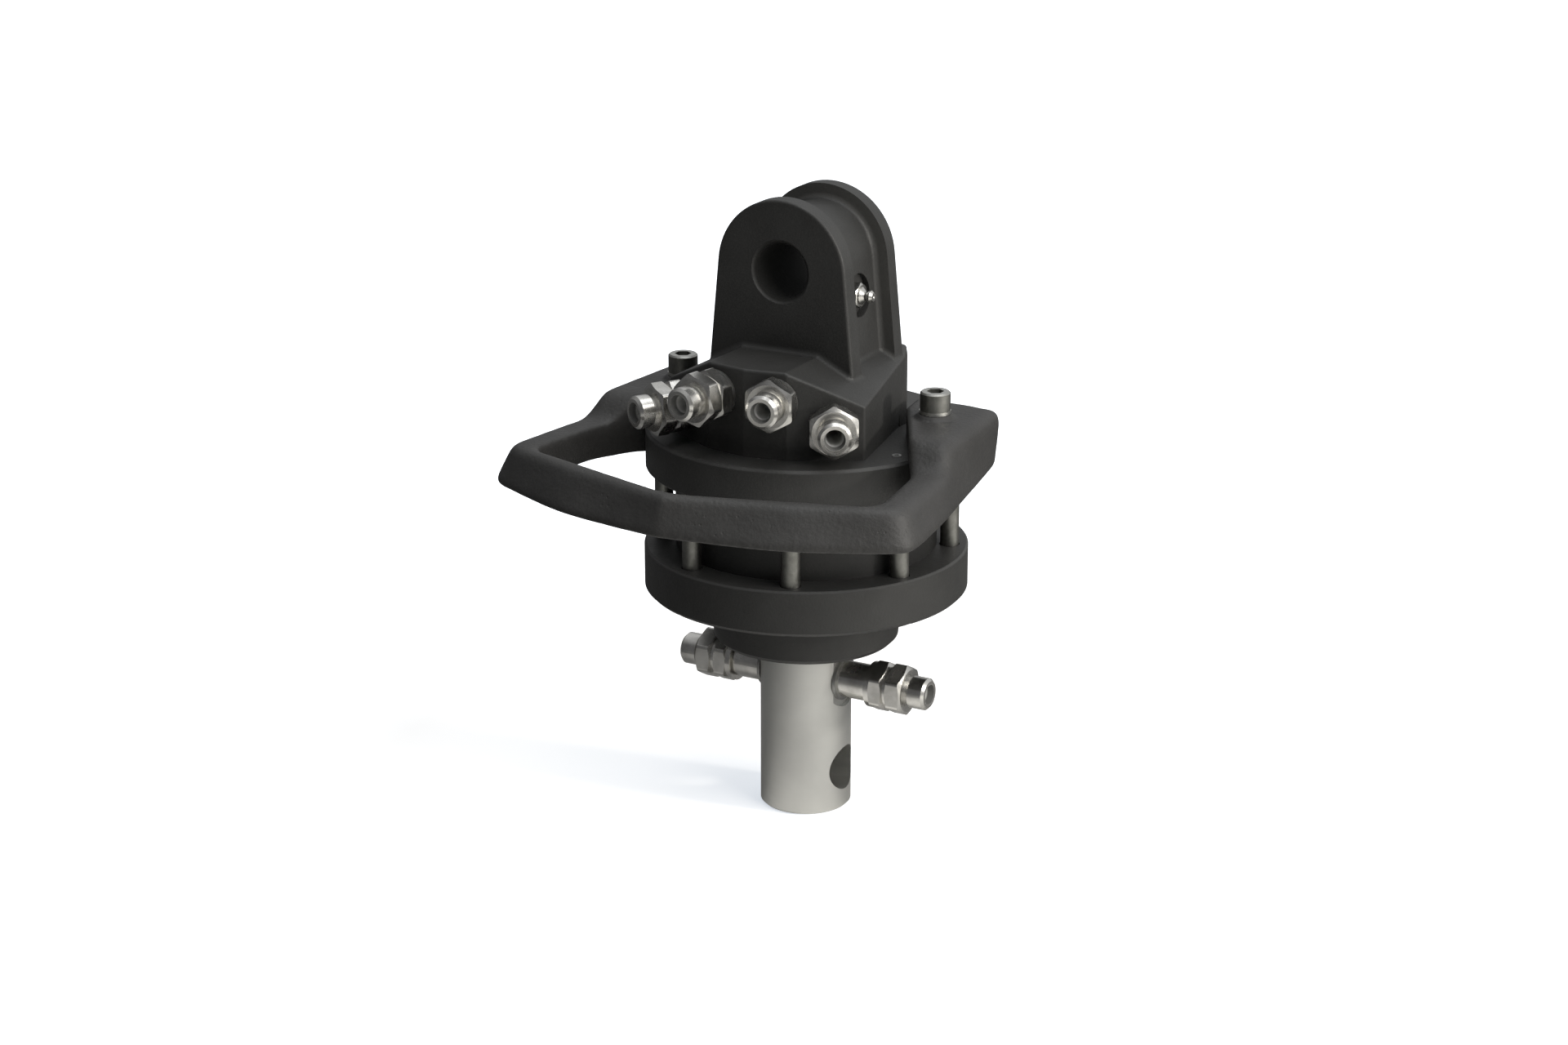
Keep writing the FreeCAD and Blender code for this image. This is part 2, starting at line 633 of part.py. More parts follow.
def guard():
    body = Part.makeLoft([soft_outline(half, z) for half, z in guard_levels()], True, True)
    heels = edges_where(body, lambda p: p.y > guard_rear_y - 0.01 and abs(p.x) > 1)
    body = body.makeFillet(guard_heel_radius, heels)
    body = body.cut(guard_ramp_cutter())
    rim = edges_where(body, lambda p: p.z > guard_bar_top - 0.01 and abs(p.x) > 1)
    body = body.makeFillet(guard_edge_radius, rim)
    body = body.makeChamfer(guard_foot_chamfer, edges_where(body, lambda p: p.z < guard_bottom + 0.01))
    outline = guard_outline(guard_opening(), 0)
    above = guard_wing_top + 5
    upright = Part.Face(guard_outline(guard_opening(), above))
    body = body.cut(upright.extrude(Vector(0, 0, guard_bottom - 5 - above)))
    body = body.cut(cylinder(flange_radius + guard_seat_gap, guard_bottom - 5, flange_top))
    lip = [edge for edge in edges_where(body, lambda p: p.z > guard_bar_top - 0.05)
           if beside(outline, [Vector(v.X, v.Y, 0) for v in edge.Vertexes])]
    body = body.makeFillet(guard_inner_radius, lip)
    leaning = [guard_outline(guard_opening(guard_inner_draft), guard_bottom - 0.01),
               guard_outline(guard_opening(), guard_bar_top - guard_lip)]
    body = body.cut(Part.makeLoft(leaning, True, True))
    foot = guard_boss_radius + 1.2
    bosses = [Part.makeCone(foot, guard_boss_radius, guard_boss_height,
                            Vector(side * guard_screw_x, 0, guard_wing_top)) for side in (-1, 1)]
    hole = cylinder(guard_screw_radius + bolt_hole_gap, flange_top - 1, guard_wing_top + 20)
    holes = pair_at(hole, guard_screw_x)
    return fused([body] + bosses).cut(holes)


def guard_washers():
    low = guard_wing_top + guard_boss_height
    washer = tube(guard_screw_radius + 0.4, guard_washer_radius, low, low + guard_washer_thickness)
    return pair_at(washer, guard_screw_x)


def guard_screws():
    seat = guard_wing_top + guard_boss_height + guard_washer_thickness
    top = seat + guard_screw_head_height
    head = revolved([(0, seat), (guard_screw_head_radius, seat), (guard_screw_head_radius, top - 0.8),
                     (guard_screw_head_radius - 0.8, top), (0, top)])
    screw = fused([head, cylinder(guard_screw_radius, guard_screw_tip, seat + 1)])
    screw = screw.cut(hex_socket(bolt_socket, top - 4.5, top + 3))
    return pair_at(screw, guard_screw_x)


def pair_at(shape, x):
    """The shape at +x and at -x."""
    both = []
    for side in (-1, 1):
        moved = shape.copy()
        moved.translate(Vector(side * x, 0, 0))
        both.append(moved)
    return both


# Motor

def cam_ring():
    """Ring whose bore rises and falls in equal lobes, so that the vanes push the rotor round."""
    outline = []
    steps = 12 * cam_lobes
    for k in range(steps):
        a = 2 * math.pi * k / steps
        r = cam_small_radius + cam_lift * (0.5 + 0.5 * math.cos(cam_lobes * a))
        outline.append(Vector(r * math.sin(a), -r * math.cos(a), motor_bottom))
    curve = Part.BSplineCurve()
    curve.interpolate(outline, PeriodicFlag=True)
    bore = Part.Face(Part.Wire(curve.toShape())).extrude(Vector(0, 0, cam_ring_height))
    ring = cylinder(cam_ring_radius, motor_bottom, motor_top).cut(bore)
    return ring.cut(pair_at(cylinder(dowel_radius + fit_gap, motor_bottom - 1, motor_top + 1), dowel_circle))


def cam_ring_dowels():
    dowel = cylinder(dowel_radius - fit_gap, motor_bottom - dowel_depth, motor_top + dowel_depth)
    return pair_at(dowel, dowel_circle)


def static_seal(face, side):
    """Ring seal squeezed into its groove."""
    half = static_seal_width / 2 - 0.2
    low, high = sorted((face, face + side * static_seal_depth))
    return tube(static_seal_radius - half, static_seal_radius + half, low, high)


def cover_bolts():
    seat = cover_bottom + bolt_counterbore
    head = cylinder(bolt_head_radius, seat - bolt_head_height, seat)
    head = head.cut(hex_socket(bolt_socket, seat - bolt_head_height - 3, seat - bolt_head_height + 5))
    bolt = fused([head, cylinder(bolt_radius, seat - 1, bolt_tip)])
    bolt.translate(Vector(0, -bolt_circle, 0))
    return around(bolt, bolt_count, 180.0 / bolt_count)


def lower_cover():
    body = revolved([(0, motor_bottom), (cover_radius - 1.2, motor_bottom), (cover_radius, motor_bottom - 1.2),
                     (cover_radius, cover_bottom + 2.0), (cover_radius - 2.0, cover_bottom),
                     (boss_top_radius, cover_bottom), (boss_bottom_radius, boss_bottom + 2.5),
                     (boss_bottom_radius - 2.5, boss_bottom), (0, boss_bottom)])
    seat = cover_bottom + bolt_counterbore
    cuts = [cylinder(collar_radius + 1.0, thrust_seat, motor_bottom + 1),
            cylinder(shaft_radius + bush_wall, boss_bottom - 1, motor_bottom),
            cylinder(seal_pocket_radius, boss_bottom - 1, seal_pocket_top),
            static_seal_groove(motor_bottom, -1)]
    cuts += around(cylinder(bolt_radius + bolt_hole_gap, seat - 1, motor_bottom + 1, 0, -bolt_circle),
                   bolt_count, 180.0 / bolt_count)
    cuts += around(cylinder(bolt_head_radius + 0.3, cover_bottom - 1, seat, 0, -bolt_circle),
                   bolt_count, 180.0 / bolt_count)
    cuts += pair_at(cylinder(dowel_radius, motor_bottom - dowel_depth - 1, motor_bottom + 1), dowel_circle)
    return body.cut(cuts)


def vane_slot(width, inner, outer):
    """Upright slab at the front of the rotor, from an inner to an outer radius."""
    low = motor_bottom + running_gap
    return Part.makeBox(width, outer - inner, rotor_height, Vector(-width / 2, -outer, low))


def rotor():
    low = motor_bottom + running_gap
    high = low + rotor_height
    body = cylinder(rotor_radius, low, high)
    slot = vane_slot(vane_thickness + 2 * fit_gap, slot_floor, rotor_radius + 2)
    cuts = [cylinder(rotor_seat_radius + fit_gap, low - 1, high + 1),
            cylinder(retainer_radius + 1.5, retainer_bottom, high + 1)]
    cuts += around(slot, vane_count, 180.0 / vane_count)
    cuts += [key.copy() for key in rotor_keys(fit_gap, low - 1, retainer_bottom + 1)]
    return body.cut(cuts)


def vanes():
    """The vanes, drawn pushed fully in, where the rotor turns past the low parts of the cam."""
    tip = cylinder(rotor_radius, motor_bottom, motor_top)
    vane = vane_slot(vane_thickness, vane_inner, rotor_radius + 1).common(tip)
    return around(vane, vane_count, 180.0 / vane_count)


def vane_springs():
    """Bowed leaf springs between the slot floors and the vanes."""
    middle = (motor_top + motor_bottom) / 2
    half = rotor_height / 2 - 3

    def bow(lift):
        return Part.Arc(Vector(0, -(slot_floor + lift), middle - half),
                        Vector(0, -(vane_inner - spring_leaf + lift), middle),
                        Vector(0, -(slot_floor + lift), middle + half)).toShape()

    ends = [Part.LineSegment(Vector(0, -slot_floor, middle + s * half),
                             Vector(0, -(slot_floor + spring_leaf), middle + s * half)).toShape() for s in (-1, 1)]
    face = Part.Face(Part.Wire(Part.__sortEdges__([bow(0), bow(spring_leaf)] + ends)))
    spring = face.extrude(Vector(spring_width, 0, 0))
    spring.translate(Vector(-spring_width / 2, 0, 0))
    return around(spring, vane_count, 180.0 / vane_count)


def rotor_keys(gap=0.0, low=None, high=None):
    """Two parallel keys between shaft and rotor, on the X axis."""
    width, height, length = rotor_key
    middle = (motor_bottom + retainer_bottom) / 2
    low = middle - length / 2 if low is None else low
    high = middle + length / 2 if high is None else high
    inner = rotor_seat_radius - height / 2 - gap
    key = Part.makeBox(height + 2 * gap, width + 2 * gap, high - low, Vector(inner, -width / 2 - gap, low))
    return [key, mirrored(key)]


def rotor_retainer():
    """Split ring in the groove of the shaft that holds the rotor against the collar."""
    ring = tube(rotor_seat_radius - retainer_groove + fit_gap, retainer_radius,
                retainer_bottom, retainer_bottom + retainer_thickness)
    return ring.cut(Part.makeBox(7, 20, 4, Vector(-3.5, rotor_seat_radius - 4, retainer_bottom - 1)))


# Shaft

def feed_seal_levels():
    upper, lower = feed_groove_levels
    step = (upper - lower) / 2
    return (upper + step, (upper + lower) / 2, lower - step)


def shaft_galleries():
    """Two upright drillings down to the adapters, each opened towards one of the feed grooves."""
    holes = []
    for side, level in zip((-1, 1), feed_groove_levels):
        x = side * gallery_offset
        holes.append(cylinder(gallery_radius, adapter_z, journal_top + 1, x))
        holes.append(aimed(cylinder(gallery_radius - 0.5, 0, feed_groove_radius), (x, 0, level), side * 90))
        holes.append(aimed(cylinder(gallery_radius, 0, nipple_seat), (x, 0, adapter_z), side * 90))
    return holes


def output_shaft():
    r = journal_radius - running_gap
    seat_top = motor_top - running_gap - 0.3
    body = revolved([(0, journal_top), (r - 1.5, journal_top), (r, journal_top - 1.5), (r, seat_top),
                     (rotor_seat_radius, seat_top), (rotor_seat_radius, collar_top), (collar_radius, collar_top),
                     (collar_radius, collar_bottom), (shaft_radius, collar_bottom),
                     (shaft_radius, shaft_end + 1.5), (shaft_radius - 1.5, shaft_end), (0, shaft_end)])
    cuts = [tube(feed_groove_radius, journal_radius + 1, z - feed_groove_width / 2, z + feed_groove_width / 2)
            for z in feed_groove_levels]
    cuts += [tube(feed_seal_radius, journal_radius + 1, z - feed_seal_width / 2, z + feed_seal_width / 2)
             for z in feed_seal_levels()]
    cuts.append(tube(rotor_seat_radius - retainer_groove, retainer_radius,
                     retainer_bottom, retainer_bottom + retainer_thickness))
    cuts += [key.copy() for key in rotor_keys(fit_gap)]
    cuts += shaft_galleries()
    z = shaft_end + output_bore_height
    cuts.append(aimed(cylinder(output_bore_radius, -collar_radius, collar_radius), (0, 0, z), 90))
    for side in (-1, 1):
        cuts.append(aimed(cylinder(spot_face_radius, 0, 10), (side * nipple_seat, 0, adapter_z), side * 90))
        cuts.append(aimed(cylinder(nipple_stub_radius + fit_gap, -nipple_stub_length - 1, 1),
                          (side * nipple_seat, 0, adapter_z), side * 90))
    return body.cut(cuts)


def gallery_plugs():
    """Plugs in the upper ends of the two drillings."""
    plug = cylinder(gallery_radius - fit_gap, journal_top - gallery_plug_length - 0.5, journal_top - 0.5)
    return pair_at(plug.cut(hex_socket(3.0, journal_top - 3, journal_top + 1)), gallery_offset)


def feed_seals():
    """Rings on the shaft that keep the two feed grooves apart."""
    half = feed_seal_width / 2 - 0.1
    return [tube(feed_seal_radius + fit_gap, journal_radius - fit_gap, z - half, z + half)
            for z in feed_seal_levels()]


def upper_bush():
    return tube(journal_radius, journal_radius + bush_wall - fit_gap, upper_bush_top - bush_length, upper_bush_top)


def lower_bush():
    return tube(shaft_radius + running_gap, shaft_radius + bush_wall - fit_gap, seal_pocket_top + 1.5,
                seal_pocket_top + 1.5 + bush_length)


def thrust_ring():
    """Bronze ring under the shaft collar that carries the hanging load, with oil grooves in its top."""
    top = thrust_seat + thrust_ring_thickness
    ring = tube(shaft_radius + 1.2, collar_radius, thrust_seat, top)
    groove = Part.makeBox(thrust_groove_width, collar_step, 3,
                          Vector(-thrust_groove_width / 2, shaft_radius + 4, top - 1.2))
    return ring.cut(around(groove, 6))


def shaft_seal():
    """Lip seal in the boss: a stiff case with a lip that leans up along the shaft."""
    top = seal_pocket_top
    r = shaft_radius + running_gap
    outer = seal_pocket_radius - fit_gap
    return revolved([(r, top - 2.0), (r + 1.2, top - 1.0), (r + 2.2, top - 5.2), (outer - 2, top - 5.2),
                     (outer - 2, top - 0.5), (outer, top - 0.5), (outer, top - 7.5), (r + 1.0, top - 7.5),
                     (r, top - 3.2)])


def seal_retainer():
    low = seal_case_bottom
    ring = tube(seal_pocket_radius - 4.0, seal_pocket_radius - fit_gap, low, low + 2.0)
    return ring.cut(Part.makeBox(6, 20, 4, Vector(-3, seal_pocket_radius - 8, low - 1)))


def wiper_ring():
    """Scraper at the mouth of the boss that keeps dirt off the shaft."""
    top = seal_case_bottom
    r = shaft_radius + running_gap
    outer = seal_pocket_radius - fit_gap
    return revolved([(r, boss_bottom - 0.6), (r + 2.4, boss_bottom + 1.2), (outer, boss_bottom + 1.2), (outer, top),
                     (r + 3.0, top), (r + 1.6, boss_bottom + 1.6), (r, boss_bottom + 0.6)])


# Shaft adapters, one on each side, made along +Z from the turning axis

def both_sides(shape):
    return [aimed(shape, (0, 0, adapter_z), side * 90) for side in (-1, 1)]


def nipple_seals():
    return both_sides(tube(nipple_stub_radius + 0.2, nipple_seal_radius, nipple_seat,
                           nipple_seat + nipple_seal_thickness))


def shaft_nipples():
    seat = nipple_seat + nipple_seal_thickness
    thread = nipple_radius - nipple_thread_step
    inner = nipple_seat - nipple_stub_length
    return both_sides(revolved([(union_bore_radius, inner), (nipple_stub_radius, inner), (nipple_stub_radius, seat),
                                (nipple_radius, seat), (nipple_radius, nipple_end - 1),
                                (nipple_radius - 1, nipple_end), (thread, nipple_end),
                                (thread, locknut_end - 1), (union_bore_radius, locknut_end - 1)]))


def shaft_locknuts():
    ring = cylinder(adapter_hex / 2, nipple_end, nipple_end + 3.0)
    body = fused([ring, hexagon(adapter_hex, nipple_end + 2.4, locknut_end)])
    return both_sides(body.cut(cylinder(nipple_radius - nipple_thread_step + fit_gap, 0, locknut_end + 1)))


def shaft_unions():
    ring = cylinder(adapter_hex / 2 - 1.0, locknut_end, locknut_end + 2.0)
    hexed = hexagon(adapter_hex, locknut_end + 1.4, union_hex_end)
    body = fused([ring, hexed]).cut(cylinder(union_bore_radius, 0, union_hex_end + 1))
    end = thread_end(union_hex_end, union_end, adapter_thread_radius, union_bore_radius)
    return both_sides(fused([body, end]))


os.makedirs("parts", exist_ok=True)
nodes = {
    "head_casting": [head_casting()],
    "grease_nipple": [grease_nipple()],
    "flange_plug": [flange_plug()],
    "port_seals": port_seals(),
    "port_adapters_long": port_adapters(adapter_long, 2, port_places()[:2]),
    "port_adapters_short": port_adapters(adapter_short, 1, port_places()[2:]),
    "guard": [guard()],
    "guard_washers": guard_washers(),
    "guard_screws": guard_screws(),
    "cam_ring": [cam_ring()],
    "cam_ring_dowels": cam_ring_dowels(),
    "static_seal_upper": [static_seal(motor_top, 1)],
    "static_seal_lower": [static_seal(motor_bottom, -1)],
    "lower_cover": [lower_cover()],
    "cover_bolts": cover_bolts(),
    "upper_bush": [upper_bush()],
    "lower_bush": [lower_bush()],
    "thrust_ring": [thrust_ring()],
    "shaft_seal": [shaft_seal()],
    "seal_retainer": [seal_retainer()],
    "wiper_ring": [wiper_ring()],
    "rotor": [rotor()],
    "vanes": vanes(),
    "vane_springs": vane_springs(),
    "rotor_keys": rotor_keys(),
    "rotor_retainer": [rotor_retainer()],
    "output_shaft": [output_shaft()],
    "gallery_plugs": gallery_plugs(),
    "feed_seals": feed_seals(),
    "nipple_seals": nipple_seals(),
    "shaft_nipples": shaft_nipples(),
    "shaft_locknuts": shaft_locknuts(),
    "shaft_unions": shaft_unions(),
}
for node, shapes in nodes.items():
    save(node, shapes)
    print(node, len(shapes), "solid(s)")
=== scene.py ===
# %% [markdown]
# # Dressing a hydraulic rotator
# A rotator hangs from a pinned lug on a crane and turns whatever is fastened to its shaft.
# The solids come from the CAD model, already in place, in metres. Blender only gives them
# their finishes, a softer guard, a studio and a camera.
# The order is: the frame, the camera, the studio, node groups, the finishes one by one, and
# the guard.

# %% Load the frame
import json
import math

import bmesh
import bpy
from mathutils import Matrix, Vector, noise


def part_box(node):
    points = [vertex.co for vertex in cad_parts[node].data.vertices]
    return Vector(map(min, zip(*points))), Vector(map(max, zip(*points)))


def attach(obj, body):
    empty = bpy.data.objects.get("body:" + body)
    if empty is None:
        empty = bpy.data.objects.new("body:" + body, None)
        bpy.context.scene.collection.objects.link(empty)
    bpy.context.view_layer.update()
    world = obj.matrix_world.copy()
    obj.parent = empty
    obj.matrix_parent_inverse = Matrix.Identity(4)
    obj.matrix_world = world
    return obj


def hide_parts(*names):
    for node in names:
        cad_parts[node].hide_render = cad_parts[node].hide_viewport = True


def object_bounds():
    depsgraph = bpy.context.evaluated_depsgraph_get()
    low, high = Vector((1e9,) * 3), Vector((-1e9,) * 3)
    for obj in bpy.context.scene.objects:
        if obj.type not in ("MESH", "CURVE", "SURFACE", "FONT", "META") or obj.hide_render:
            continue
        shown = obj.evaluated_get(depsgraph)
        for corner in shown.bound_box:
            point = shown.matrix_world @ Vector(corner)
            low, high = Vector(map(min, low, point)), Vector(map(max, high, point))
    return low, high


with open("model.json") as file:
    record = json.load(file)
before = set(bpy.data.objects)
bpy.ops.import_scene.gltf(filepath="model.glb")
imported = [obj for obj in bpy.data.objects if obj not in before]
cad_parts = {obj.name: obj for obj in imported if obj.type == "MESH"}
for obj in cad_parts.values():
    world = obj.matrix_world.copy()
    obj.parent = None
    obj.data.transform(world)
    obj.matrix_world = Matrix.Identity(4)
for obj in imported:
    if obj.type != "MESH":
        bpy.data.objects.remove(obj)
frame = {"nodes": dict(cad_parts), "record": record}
cad_low, cad_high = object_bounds()
print("CAD nodes:", len(frame["nodes"]), "box:", [round(v, 4) for v in (*cad_low, *cad_high)])

# %% [markdown]
# ## The camera
# The picture was taken with a long lens from a little above, on the side of the hose ports.
# A camera could be placed by eye. Here its angles were solved from edges that both the model
# and the picture show, so it is set by azimuth, pitch and distance from one aimed point.

# %% Camera
azimuth = math.radians(29.0)
pitch = math.radians(18.37)
distance = 1.754
aim_level = -0.14455
aim_left = 0.012
to_right = Vector((math.cos(azimuth), math.sin(azimuth), 0))
to_camera = Vector((math.sin(azimuth) * math.cos(pitch),
                    -math.cos(azimuth) * math.cos(pitch),
                    math.sin(pitch)))
aim = Vector((0, 0, aim_level)) - aim_left * to_right

camera_data = bpy.data.cameras.new("camera")
camera_data.sensor_width = 36
camera_data.lens = 75
camera = bpy.data.objects.new("camera", camera_data)
bpy.context.scene.collection.objects.link(camera)
camera.rotation_mode = "QUATERNION"
camera.location = aim + distance * to_camera
camera.rotation_quaternion = (-to_camera).to_track_quat("-Z", "Y")
bpy.context.scene.camera = camera
print("camera at", [round(v, 3) for v in camera.location])

# %% [markdown]
# ## The studio
# The object stands on a white floor that runs out of the picture, so there is no horizon.
# Dark paint and bright plating are both mostly reflection, and what they reflect matters more
# than the lamps' power: a pale sky above and behind, dimmer in front, a floor with dark cards
# on its left, and one large soft window on the right. The dim front is what keeps the front
# faces nearly black. A second, small lamp stands low on the right. It lights the shaft under
# the wide cover and lays the shaft's narrow shadow across the floor.

# %% A mesh object from bmesh
def mesh_object(name, form, smooth=True):
    """Makes an object from a finished bmesh, with all faces outward."""
    bmesh.ops.recalc_face_normals(form, faces=form.faces)
    mesh = bpy.data.meshes.new(name)
    form.to_mesh(mesh)
    form.free()
    for polygon in mesh.polygons:
        polygon.use_smooth = smooth
    made = bpy.data.objects.new(name, mesh)
    bpy.context.scene.collection.objects.link(made)
    return made


# %% Floor
floor_radius = 9.0
floor_gap = 0.0004
form = bmesh.new()
bmesh.ops.create_circle(form, cap_ends=True, segments=96, radius=floor_radius,
                        matrix=Matrix.Translation((0, 0, cad_low.z - floor_gap)))
floor = mesh_object("floor", form, smooth=False)
if floor.data.polygons[0].normal.z < 0:
    floor.data.flip_normals()
print("floor at z =", round(floor.data.vertices[0].co.z, 4))


# %% [markdown]
# ### The floor's two jobs
# In the picture the floor is nearly burnt out, with only a faint bluish shadow. The dark paint,
# though, must not mirror a white floor, or its front faces turn grey. A photographer would
# hang black cards just out of sight. Here the floor has two shaders. What the camera sees is
# lit white with a painted glow on top, and the glow is weaker round the shaft, so a little of
# the lamps' shadow shows there. What lamps and reflections see is white close to the shaft,
# with a faint glow there that is painted light on the shaft's foot, and further out grey, dark
# on the left and pale on the right. Written out one call at a time such a network is hard to
# read, so one helper adds a node, sets its options and joins its inputs in a single line.

# %% Two helpers for nodes
def add(tree, kind, inputs=None, **options):
    """Adds a node. An input is a value, or the output of another node."""
    node = tree.nodes.new("ShaderNode" + kind)
    for option, value in options.items():
        setattr(node, option, value)
    for socket, value in (inputs or {}).items():
        if isinstance(value, bpy.types.NodeSocket):
            tree.links.new(value, node.inputs[socket])
        else:
            node.inputs[socket].default_value = value
    return node


def set_ramp(ramp, *stops):
    """Gives a colour ramp its stops, each a position and a colour."""
    while len(ramp.elements) < len(stops):
        ramp.elements.new(1.0)
    for element, (position, colour) in zip(ramp.elements, stops):
        element.position = position
        element.color = (*colour, 1)


print("helpers: add, set_ramp")

# %% Floor paint, where on the floor
lamp_side = (0.85, -0.53, 0)
front_side = (0.35, -0.94, 0)
floor_paint = bpy.data.materials.new("floor_paint")
floor_paint.use_nodes = True
tree = floor_paint.node_tree
tree.nodes.remove(tree.nodes["Principled BSDF"])
spot = add(tree, "TexCoord").outputs["Object"]
flat = add(tree, "VectorMath", {0: spot, 1: (1, 1, 0)}, operation="MULTIPLY").outputs[0]
distance_out = add(tree, "VectorMath", {0: flat}, operation="LENGTH").outputs["Value"]
heading = add(tree, "VectorMath", {0: spot}, operation="NORMALIZE").outputs[0]
heading_flat = add(tree, "VectorMath", {0: flat}, operation="NORMALIZE").outputs[0]
rightward = add(tree, "VectorMath", {0: heading, 1: lamp_side},
                operation="DOT_PRODUCT").outputs["Value"]
ahead = add(tree, "VectorMath", {0: heading_flat, 1: front_side},
            operation="DOT_PRODUCT").outputs["Value"]
print("floor paint: distance, heading")

# %% Floor paint, what the camera sees
lit = add(tree, "BsdfDiffuse", {"Color": (0.80, 0.765, 0.72, 1)})
# The floor glows for the camera, and the glow is weaker round the shaft: painted shade that lets the
# lamps' shadow show.
burning = add(tree, "ValToRGB", {"Fac": distance_out})
set_ramp(burning.color_ramp,
         (0.03, (0.64, 0.64, 0.64)), (0.25, (0.38, 0.38, 0.38)), (0.52, (1, 1, 1)))
burnt = add(tree, "Emission", {"Color": (0.84, 0.91, 1.0, 1), "Strength": burning.outputs["Color"]})
seen = add(tree, "AddShader", {0: lit.outputs[0], 1: burnt.outputs[0]})
print("floor paint: what the camera sees")

# %% Floor paint, what lamps and reflections see
white_from, white_to = 0.28, 0.04
foot_glow = 0.28
shade = add(tree, "ValToRGB", {"Fac": rightward})
shade.color_ramp.interpolation = "EASE"
set_ramp(shade.color_ramp, (0.05, (0.12, 0.12, 0.12)), (0.8, (0.80, 0.79, 0.76)))
foot = add(tree, "MapRange", {"Value": distance_out, "From Min": white_from,
                              "From Max": white_to})
lit_side = add(tree, "MapRange", {"Value": ahead, "From Max": 0.9, "To Min": 0.25})
near = add(tree, "Math", {0: foot.outputs["Result"], 1: lit_side.outputs["Result"]},
           operation="MULTIPLY")
card = add(tree, "Mix", {"Factor": near.outputs[0]}, data_type="RGBA")
tree.links.new(shade.outputs["Color"], card.inputs[6])
card.inputs[7].default_value = (0.85, 0.84, 0.81, 1)
cards = add(tree, "BsdfDiffuse", {"Color": card.outputs[2]})
# A faint glow close to the shaft, for reflections and bounced light only: painted light on the
# shaft's foot.
glowing = add(tree, "Math", {0: near.outputs[0], 1: foot_glow}, operation="MULTIPLY")
glow = add(tree, "Emission", {"Strength": glowing.outputs[0]})
mirrored = add(tree, "AddShader", {0: cards.outputs[0], 1: glow.outputs[0]})
print("floor paint: what lamps and reflections see")

# %% Floor paint, one of the two for each ray
choose = add(tree, "MixShader", {"Fac": add(tree, "LightPath").outputs["Is Camera Ray"]})
tree.links.new(mirrored.outputs[0], choose.inputs[1])
tree.links.new(seen.outputs[0], choose.inputs[2])
tree.links.new(choose.outputs[0], tree.nodes["Material Output"].inputs["Surface"])
floor.data.materials.append(floor_paint)
print("floor paint nodes:", len(tree.nodes))

# %% Sky: pale above and behind, dim in front
pale_side = (0.35, 0.45, 0.82)
world = bpy.data.worlds.new("studio_sky")
bpy.context.scene.world = world
world.use_nodes = True
sky = world.node_tree
direction = add(sky, "TexCoord").outputs["Generated"]
lean = add(sky, "VectorMath", {0: direction, 1: pale_side}, operation="DOT_PRODUCT")
ramp = add(sky, "ValToRGB", {"Fac": lean.outputs["Value"]})
set_ramp(ramp.color_ramp, (0.0, (0.16, 0.16, 0.165)), (0.75, (0.95, 0.96, 0.97)))
background = sky.nodes["Background"]
sky.links.new(ramp.outputs["Color"], background.inputs["Color"])
background.inputs["Strength"].default_value = 0.75
backdrop = add(sky, "Background", {"Color": (1, 1, 1, 1)})
choose = add(sky, "MixShader", {"Fac": add(sky, "LightPath").outputs["Is Camera Ray"]})
sky.links.new(background.outputs[0], choose.inputs[1])
sky.links.new(backdrop.outputs[0], choose.inputs[2])
sky.links.new(choose.outputs[0], sky.nodes["World Output"].inputs["Surface"])
print("sky nodes:", len(sky.nodes))


# %% Soft windows
def window(name, place, size, power, colour):
    """A square area lamp that looks at the middle of the object. Sizes in metres, power in watts."""
    lamp = bpy.data.lights.new(name, "AREA")
    lamp.shape = "SQUARE"
    lamp.size = size
    lamp.energy = power
    lamp.color = colour
    made = bpy.data.objects.new(name, lamp)
    bpy.context.scene.collection.objects.link(made)
    made.location = place
    middle = Vector((0, 0, -0.12))
    made.rotation_euler = (middle - Vector(place)).to_track_quat("-Z", "Y").to_euler()


window("window_right", (1.75, -0.45, 1.25), 1.3, 28, (1.0, 0.975, 0.94))
window("low_lamp", (1.93, 0.26, 0.44), 0.20, 18, (1.0, 0.96, 0.90))
window("ceiling", (0.2, 0.2, 2.4), 1.8, 24, (0.96, 0.98, 1.0))
bpy.context.scene.view_settings.view_transform = "Standard"

# %% [markdown]
# ## Node groups
# Several finishes share an effect, such as a cast skin or tool marks. Each effect is built
# once as a node group with named sockets, and placed in each material with its own values.

# %% Make and place a node group
def node_group(name, inputs, outputs):
    """An empty node group with named sockets, its input node and its output node."""
    tree = bpy.data.node_groups.new(name, "ShaderNodeTree")
    for label, (kind, value) in inputs.items():
        socket = tree.interface.new_socket(label, in_out="INPUT", socket_type="NodeSocket" + kind)
        if value is not None:
            socket.default_value = value
    for label, kind in outputs.items():
        tree.interface.new_socket(label, in_out="OUTPUT", socket_type="NodeSocket" + kind)
    given = tree.nodes.new("NodeGroupInput").outputs
    result = tree.nodes.new("NodeGroupOutput").inputs
    return tree, given, result


def place(tree, group, **inputs):
    """Places a node group in a material."""
    return add(tree, "Group", inputs, node_tree=bpy.data.node_groups[group]).outputs


print("helpers: node_group, place")

# %% [markdown]
# ### Cast skin
# A casting keeps the print of its sand mould: grains a few tenths of a millimetre wide, broad
# soft waves, and here and there a pit. Paint rounds all of it off. Real displacement would need
# millions of faces, so the skin is a height that feeds a bump.

